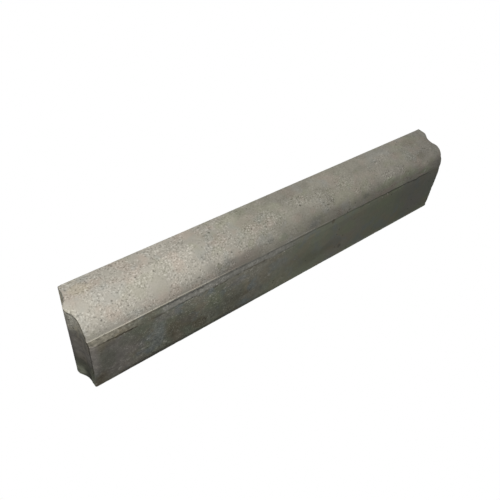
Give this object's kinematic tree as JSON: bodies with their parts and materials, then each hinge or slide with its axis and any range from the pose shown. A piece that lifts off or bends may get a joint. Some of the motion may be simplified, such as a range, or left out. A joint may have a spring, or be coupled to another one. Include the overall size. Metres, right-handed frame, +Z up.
{
  "type": "concrete kerb stone",
  "caption": "Straight precast concrete kerb stone with a rounded front edge, a full-height tongue on one end and a groove on the other.",
  "frame": {"origin": "centre of the bed, under the block and its tongue together", "axes": "+X along the kerb from its tongue end to its groove end, +Y from the rounded front edge to the back face, +Z up from the bed to the top"},
  "size_m": [1.012, 0.1, 0.2],
  "materials": {
    "concrete": "cast, matt, weathered"
  },
  "bodies": {
    "root": {"kerb_stone": "concrete"}
  },
  "joints": []
}
